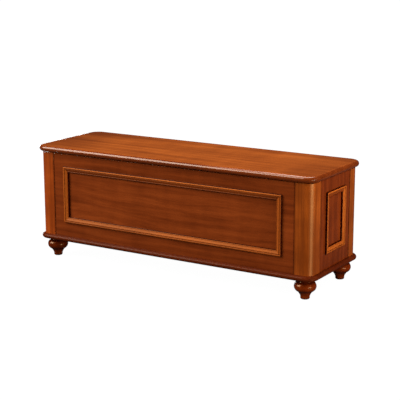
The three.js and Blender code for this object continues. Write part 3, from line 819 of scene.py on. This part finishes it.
# Heights at which shade is painted on a foot: its pad, under the bulb and above it.
FOOT_CREASES = mm(0, 30, 66)
CREASE_REACH = 10 * MM
CREASE_PAINTED_SHADE = 0.9


def turned(profile, centre, tones=None, steps=FOOT_STEPS):
    """Rings of a profile of (radius, height) turned about an upright axis, and their tones."""
    rings = [[(x, y, height) for x, y in circle(centre, radius, steps)] for radius, height in profile]
    return rings, [[tone] * steps for tone in tones] if tones else None


def foot_profile(bottom, top):
    """Radius and height up the foot: pad, waist, cove, bulb, neck and collar."""
    pad_top = mm(16.5, 6)
    waist = mm(17.3, 12.5)
    cove_top = mm(26.9, 27.4)
    points = [(2 * MM, bottom), (14.6 * MM, bottom)]
    points += curve(points[-1], (16.8 * MM, bottom + 0.3 * MM), pad_top, 6)
    points += curve(pad_top, mm(16.4, 10), waist, 5)
    points += curve(waist, mm(19.5, 19), cove_top, 12)
    points += [mm(28, 28.3)]
    points += arc((FOOT_WIDEST - BULB_RADIUS, BULB_HEIGHT), BULB_RADIUS, -62, 59, 26)
    points += [(FOOT_NECK, points[-1][1] + 1.2 * MM), (FOOT_NECK, top - COLLAR_HEIGHT)]
    points += [(FOOT_COLLAR, top - COLLAR_HEIGHT), (FOOT_COLLAR, top), (6 * MM, top)]
    return points


def make_foot(corner):
    """A turned foot with painted shade in its creases."""
    low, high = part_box(f"foot_{corner}")
    profile = foot_profile(low.z, high.z)
    tones = []
    for _, height in profile:
        tones.append(CREASE_PAINTED_SHADE * max(fade(height - crease, CREASE_REACH) for crease in FOOT_CREASES))
    rings, spread = turned(profile, (low + high) / 2, tones)
    material = wood(f"foot_grain_{corner}", "z", FOOT_STAIN, (0, 0, 0.5), finish="turned")
    shape = Shape().loft(rings, tones=spread)
    shape.build(f"turned_foot_{corner}", material, "foot_wood", "case", [f"foot_{corner}"], sharp=42)


def make_glide(corner):
    """A nylon pad under the foot with a pin up into it."""
    low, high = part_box(f"foot_glide_{corner}")
    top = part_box(f"foot_{corner}")[0].z
    radius = (high.x - low.x) / 2
    pin = 1.2 * MM
    profile = [(radius - 2 * MM, low.z)]
    profile += curve(profile[-1], (radius, low.z), (radius, top * 0.6), 5)
    profile += [(radius, top), (pin, top), (pin, high.z)]
    rings, _ = turned(profile, (low + high) / 2, steps=GLIDE_STEPS)
    shape = Shape().loft(rings)
    shape.build(f"glide_{corner}", NYLON, "nylon", "case", [f"foot_glide_{corner}"])


def make_feet():
    """A foot and its glide at each corner."""
    for end in ("front", "rear"):
        for side in ("left", "right"):
            make_foot(f"{end}_{side}")
            make_glide(f"{end}_{side}")


# ---- screws -------------------------------------------------------------------------------------

SCREW_STEPS = 24
SCREW_SUNK = 0.15 * MM

# How far the cross slot reaches, as a share of the head's radius, by steps round from an arm's middle.
ARM_STEPS = 6
CROSS_REACH = {0: 0.60, 1: 0.42, 5: 0.42}
CROSS_WAIST = 0.20


def add_screw(shape, centre, out, radius):
    """A countersunk cross-head screw with its head's top a little under the surface."""
    matrix = Matrix.Translation(centre) @ Vector(out).to_track_quat("Z", "Y").to_matrix().to_4x4()
    disc = circle((0, 0), radius, SCREW_STEPS)
    cross = []
    for step, (x, y) in enumerate(disc):
        reach = CROSS_REACH.get(step % ARM_STEPS, CROSS_WAIST)
        cross.append((x * reach, y * reach))
    levels = (
        (disc, 0.5, -radius * 0.9),
        (disc, 1.0, -SCREW_SUNK - 0.1 * MM),
        (disc, 0.94, -SCREW_SUNK + 0.12 * MM),
        (cross, 1.0, -SCREW_SUNK + 0.16 * MM),
        (cross, 0.55, -radius * 0.55),
    )
    rings = [[(x * share, y * share, height) for x, y in outline] for outline, share, height in levels]
    shape.loft(rings, matrix)


def make_screws(name, places, out, radius, body):
    """Brass screws of one size, facing one way, as one piece."""
    shape = Shape()
    for place in places:
        add_screw(shape, place, out, radius)
    shape.build(name, BRASS, "brass", body, sharp=30)


# ---- hinges -------------------------------------------------------------------------------------

KNUCKLE_STEPS = 40
KNUCKLE_GAP = 0.4 * MM
KNUCKLE_COUNT = 5
LEAF_THICKNESS = 1.4 * MM
LEAF_CORNER = 2.5 * MM
LEAF_OVERLAP = 0.5 * MM
LEAF_EASE = 0.25 * MM
LEAF_SCREW = 3.2 * MM
LEAF_SCREW_PITCH = 23 * MM
LEAF_SCREW_STAGGER = 2 * MM
PIN_STEPS = 32
PIN_STEM = 1.5 * MM
PIN_CHAMFER = 0.5 * MM


def eye_ring(axis, radius, x, steps=KNUCKLE_STEPS):
    """A ring about a level axis along X, in y and z."""
    return [(x, y, z) for y, z in circle(axis, radius, steps)]


def make_leaf(side, body, bottom, first):
    """A hinge leaf: a plate with rounded free corners, every other knuckle, and three screws."""
    node = f"hinge_{side}_{body}_leaf"
    case_low, case_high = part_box(f"hinge_{side}_case_leaf")
    axis = pin_axis(side)
    centre = (case_low.x + case_high.x) / 2
    left = centre - HINGE_LENGTH / 2
    right = left + HINGE_LENGTH
    top = bottom + LEAF_THICKNESS
    plate_edge = axis[0] - KNUCKLE - KNUCKLE_GAP
    outline = arc((left + LEAF_CORNER, case_low.y + LEAF_CORNER), LEAF_CORNER, 180, 270, 6)
    outline += arc((right - LEAF_CORNER, case_low.y + LEAF_CORNER), LEAF_CORNER, 270, 360, 6)
    outline += [(right, plate_edge), (left, plate_edge)]
    shape = Shape().prism(outline, bottom, top)
    pitch = HINGE_LENGTH / KNUCKLE_COUNT
    for index in range(first, KNUCKLE_COUNT, 2):
        start = left + index * pitch + KNUCKLE_GAP / 2
        end = start + pitch - KNUCKLE_GAP
        shape.block((start, plate_edge - LEAF_OVERLAP, bottom), (end, axis[0], top))
        shape.loft([eye_ring(axis, KNUCKLE, x) for x in (start, end)])
    leaf = shape.build(f"{node}_plate", BRASS, "brass", body, [node], sharp=40)
    ease(leaf, LEAF_EASE, 2)
    out, face = ((0, 0, 1), top) if body == "case" else ((0, 0, -1), bottom)
    middle = (case_low.y + plate_edge) / 2
    places = []
    for step in (-1, 0, 1):
        y = middle + (1 - abs(step)) * LEAF_SCREW_STAGGER
        places.append((centre + step * LEAF_SCREW_PITCH, y, face))
    make_screws(f"{node}_screws", places, out, LEAF_SCREW, body)


def make_pin(side):
    """A pin with a chamfered head at each end."""
    low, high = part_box(f"hinge_{side}_pin")
    head = (high.y - low.y) / 2
    rim = head - PIN_CHAMFER
    half = [(PIN_CHAMFER, 0.0), (rim, 0.0), (head, PIN_CHAMFER), (head, PIN_HEAD), (PIN_STEM, PIN_HEAD)]
    profile = [(radius, low.x + inset) for radius, inset in half]
    profile += [(radius, high.x - inset) for radius, inset in reversed(half)]
    rings = [eye_ring(pin_axis(side), radius, x, PIN_STEPS) for radius, x in profile]
    Shape().loft(rings).build(f"hinge_pin_{side}", BRASS, "brass", "case", [f"hinge_{side}_pin"])


def make_hinges():
    """Three butt hinges along the rear top edge."""
    for side in ("left", "centre", "right"):
        make_leaf(side, "case", CASE_TOP, 0)
        make_leaf(side, "lid", LID_LOW.z - LEAF_THICKNESS, 1)
        make_pin(side)


# ---- pieces inside: floor, battens, bumpers, bolts and lid stays --------------------------------

MERGE_WITHIN = 0.001 * MM
FLAT_WITHIN = 1
FLOOR_EASE = 0.8 * MM
BATTEN_EASE = 2.5 * MM
BATTEN_SCREW = 4 * MM
BATTEN_SCREW_MARGIN = 30 * MM
BUMPER_EASE = 0.8 * MM
BOLT_EASE = 0.6 * MM


def refine(node, name, material, body, width, segments=2):
    """A plain piece on its outline from the frame, with flats joined up and every edge eased."""
    source = bmesh.new()
    source.from_mesh(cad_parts[node].data)
    bmesh.ops.remove_doubles(source, verts=source.verts, dist=MERGE_WITHIN)
    flat = math.radians(FLAT_WITHIN)
    bmesh.ops.dissolve_limit(source, angle_limit=flat, verts=source.verts, edges=source.edges)
    source.verts.index_update()
    vertices = [vertex.co.copy() for vertex in source.verts]
    faces = [tuple(vertex.index for vertex in face.verts) for face in source.faces]
    source.free()
    piece = build(name, vertices, faces, material, body, [node])
    return ease(piece, width, segments)


def make_batten(side):
    """A batten under the lid with three screws up into it."""
    offset = (0.5, 0.2, 0.1 if side == "left" else 0.6)
    grain = wood(f"batten_grain_{side}", "y", INNER_STAIN, offset, finish="bare")
    refine(f"lid_batten_{side}", f"batten_{side}", grain, "lid", BATTEN_EASE, 4)
    low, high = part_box(f"lid_batten_{side}")
    reach = (high.y - low.y) / 2 - BATTEN_SCREW_MARGIN
    places = [((low.x + high.x) / 2, step * reach, low.z) for step in (-1, 0, 1)]
    make_screws(f"batten_screws_{side}", places, (0, 0, -1), BATTEN_SCREW, "lid")


def make_inside():
    """The floor, and at each side a batten, a bumper and the bolts of two feet."""
    floor_grain = wood("floor_grain", "x", INNER_STAIN, (0.1, 0.4, 0.7), finish="bare")
    refine("bottom_panel", "chest_floor", floor_grain, "case", FLOOR_EASE)
    for side in ("left", "right"):
        make_batten(side)
        bumper = f"bumper_{side}"
        refine(bumper, f"lid_{bumper}", RUBBER, "case", BUMPER_EASE, 3)
        for end in ("front", "rear"):
            corner = f"{end}_{side}"
            refine(f"foot_stud_{corner}", f"hanger_bolt_{corner}", STEEL, "case", BOLT_EASE)


# The stay's arm: its pivot on the lid, forward of and below the hinge pin, its length in the plane of
# motion, its slope with the lid closed, and its turn for each degree of the lid.
STAY_PIVOT = Vector(mm(100, -15))
STAY_ARM_LENGTH = 190 * MM
STAY_ARM_START = math.radians(-7)
STAY_ARM_RATIO = -0.44

STAY_EASE = 0.4 * MM
STAY_EAR_DROP = 14 * MM
STAY_EAR_SPREAD = 5 * MM
PLATE_SCREW = 3.4 * MM
BRACKET_FLANGE = 2 * MM
BRACKET_OFFSET = 1.5 * MM
BRACKET_SCREW = 3.0 * MM
BRACKET_SCREW_REACH = 15 * MM


def stud_place(opening):
    """Forward and up from the hinge pin to the arm's stud when the lid is open by an angle."""
    angle = STAY_ARM_START + STAY_ARM_RATIO * opening
    turn = Matrix.Rotation(opening, 2)
    return turn @ STAY_PIVOT + Vector((math.cos(angle), math.sin(angle))) * STAY_ARM_LENGTH


def make_plate_screws(side, sign, pin_y, pin_z):
    """Three screws in the ears of a slotted plate, under the start, the middle and the end of its slot."""
    low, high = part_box(f"stay_{side}_track")
    inner = low.x if sign > 0 else high.x
    places = []
    for opening, spread in ((0, -1), (45, 0), (90, 1)):
        forward, up = stud_place(math.radians(opening))
        forward += spread * STAY_EAR_SPREAD
        places.append((inner, pin_y - forward, pin_z + up - STAY_EAR_DROP))
    make_screws(f"stay_plate_screws_{side}", places, (-sign, 0, 0), PLATE_SCREW, "case")


def make_bracket_screws(side, sign, pin_y):
    """Two screws up through the bracket's flange into the lid."""
    low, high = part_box(f"stay_{side}_bracket")
    x = (low.x + high.x) / 2 - sign * BRACKET_OFFSET
    z = LID_LOW.z - BRACKET_FLANGE
    places = [(x, pin_y - STAY_PIVOT.x + step * BRACKET_SCREW_REACH, z) for step in (-1, 1)]
    make_screws(f"stay_bracket_screws_{side}", places, (0, 0, -1), BRACKET_SCREW, "lid")


def make_stays():
    """A slotted plate, an arm and a bracket at each end, and their screws."""
    pin_y, pin_z = pin_axis("centre")
    for side, sign in (("left", -1), ("right", 1)):
        for part, body in (("track", "case"), ("arm", f"stay_arm_{side}"), ("bracket", "lid")):
            refine(f"stay_{side}_{part}", f"lid_stay_{side}_{part}", BRASS, body, STAY_EASE)
        make_plate_screws(side, sign, pin_y, pin_z)
        make_bracket_screws(side, sign, pin_y)


# ---- floor and backdrop -------------------------------------------------------------------------

WHITE = 1.05
FLOOR_HALF = 9.0
FLOOR_FADE_START = 0.9
FLOOR_FADE_END = 1.8
FLOOR_GLOW = 0.94
FLOOR_PALE = (0.80, 0.80, 0.80, 1)
FLOOR_DIM = (0.04, 0.04, 0.04, 1)
FILL = 0.10
MIRRORED_FILL = 0.012


def floor_material():
    """Glowing pale to the camera, whiter further out, and dim to every other ray."""
    nodes = Nodes("pale_floor")
    length = nodes.add("ShaderNodeVectorMath", {0: nodes.place()}, operation="LENGTH")
    inputs = {"Value": length.outputs["Value"], "From Min": FLOOR_FADE_START, "From Max": FLOOR_FADE_END}
    out_by = nodes.add("ShaderNodeMapRange", inputs).outputs[0]
    seen = nodes.add("ShaderNodeLightPath").outputs["Is Camera Ray"]
    lit = nodes.add("ShaderNodeBsdfDiffuse", {"Color": FLOOR_PALE}).outputs[0]
    glow = nodes.add("ShaderNodeEmission", {"Color": (1, 1, 1, 1), "Strength": WHITE}).outputs[0]
    share = nodes.math("ADD", nodes.math("MULTIPLY", out_by, 1 - FLOOR_GLOW), FLOOR_GLOW)
    pale = nodes.add("ShaderNodeMixShader", {0: share, 1: lit, 2: glow}).outputs[0]
    dim = nodes.add("ShaderNodeBsdfDiffuse", {"Color": FLOOR_DIM}).outputs[0]
    both = nodes.add("ShaderNodeMixShader", {0: seen, 1: dim, 2: pale}).outputs[0]
    nodes.feed(nodes.tree.nodes["Material Output"].inputs["Surface"], both)
    return nodes.material


def make_floor():
    """A pale floor that fades into the white backdrop and lets the low lights through."""
    corners = [(x * FLOOR_HALF, y * FLOOR_HALF, 0) for x, y in ((-1, -1), (1, -1), (1, 1), (-1, 1))]
    mesh = bpy.data.meshes.new("floor")
    mesh.from_pydata(corners, [], [(0, 1, 2, 3)])
    mesh.materials.append(floor_material())
    floor = bpy.data.objects.new("floor", mesh)
    SCENE.collection.objects.link(floor)
    floor.visible_shadow = False


def make_backdrop():
    """White to the camera, nearly black to reflections, and a dim fill to everything else."""
    world = bpy.data.worlds.new("surround")
    SCENE.world = world
    world.use_nodes = True
    tree = world.node_tree
    path = tree.nodes.new("ShaderNodeLightPath")

    def shade(strength):
        node = tree.nodes.new("ShaderNodeBackground")
        node.inputs["Color"].default_value = (1, 1, 1, 1)
        node.inputs["Strength"].default_value = strength
        return node.outputs[0]

    def choose(ray, otherwise, chosen):
        node = tree.nodes.new("ShaderNodeMixShader")
        tree.links.new(path.outputs[ray], node.inputs[0])
        tree.links.new(otherwise, node.inputs[1])
        tree.links.new(chosen, node.inputs[2])
        return node.outputs[0]

    unseen = choose("Is Glossy Ray", shade(FILL), shade(MIRRORED_FILL))
    both = choose("Is Camera Ray", unseen, shade(WHITE))
    tree.links.new(both, tree.nodes["World Output"].inputs["Surface"])


# ---- lights and camera --------------------------------------------------------------------------

AIM_HEIGHT = 0.25
MIDDLE = (0, 0, AIM_HEIGHT)
RIGHT_END = (CASE_HALF_X, 0, AIM_HEIGHT)
LEFT_END = (-CASE_HALF_X, 0, AIM_HEIGHT)


def softbox(name, azimuth, elevation, distance, size, watts, aim=MIDDLE, mirrored=True):
    """A rectangular soft light aimed at a point of the chest, kept out of reflections if not mirrored."""
    light = bpy.data.lights.new(name, "AREA")
    light.shape = "RECTANGLE"
    light.size, light.size_y = size
    light.energy = watts
    lamp = bpy.data.objects.new(name, light)
    SCENE.collection.objects.link(lamp)
    out = outward(azimuth, elevation)
    lamp.location = Vector(aim) + out * distance
    lamp.rotation_euler = out.to_track_quat("Z", "Y").to_euler()
    lamp.visible_camera = False
    lamp.visible_glossy = mirrored


def make_lights():
    """Soft boxes all round. The low ones at both ends stand for the floor's bounce."""
    softbox("left_wall", -48, 33, distance=10.0, size=(6.2, 7.4), watts=1200)
    softbox("right_wall", 88, 38, distance=1.1, size=(0.7, 0.5), watts=8.5, aim=RIGHT_END, mirrored=False)
    softbox("right_low", 73, -8, distance=3.0, size=(1.5, 1.1), watts=55, aim=RIGHT_END)
    softbox("left_low", -132, -8, distance=3.0, size=(1.2, 1.0), watts=36, aim=LEFT_END)
    softbox("overhead", 0, 88, distance=1.7, size=(1.3, 0.9), watts=13)
    softbox("rear_fill", 190, 68, distance=3.2, size=(2.0, 1.2), watts=46)


CAMERA_AZIMUTH = 32.03
CAMERA_ELEVATION = 13.02
CAMERA_ROLL = -0.17
CAMERA_DISTANCE = 4.432
CAMERA_LENS = 104.85
CAMERA_SENSOR = 36.0
CAMERA_FAR = 100
AIM_RIGHT = 0.0242
AIM_UP = 0.2505


def make_camera():
    """A long lens from the front and the right, looking slightly down."""
    data = bpy.data.cameras.new("camera")
    data.sensor_width = CAMERA_SENSOR
    data.lens = CAMERA_LENS
    data.clip_end = CAMERA_FAR
    camera = bpy.data.objects.new("camera", data)
    SCENE.collection.objects.link(camera)
    back = outward(CAMERA_AZIMUTH, CAMERA_ELEVATION)
    right = outward(CAMERA_AZIMUTH + 90, 0)
    up = back.cross(right)
    camera.location = back * CAMERA_DISTANCE + right * AIM_RIGHT + up * AIM_UP
    level = Matrix((right, up, back)).transposed()
    camera.rotation_euler = (level @ Matrix.Rotation(math.radians(CAMERA_ROLL), 3, "Z")).to_euler()
    SCENE.camera = camera


make_lid()
make_base()
make_posts()
make_case_walls()
make_feet()
make_hinges()
make_inside()
make_stays()
make_floor()
make_backdrop()
make_lights()
make_camera()
SCENE.view_settings.view_transform = "Standard"
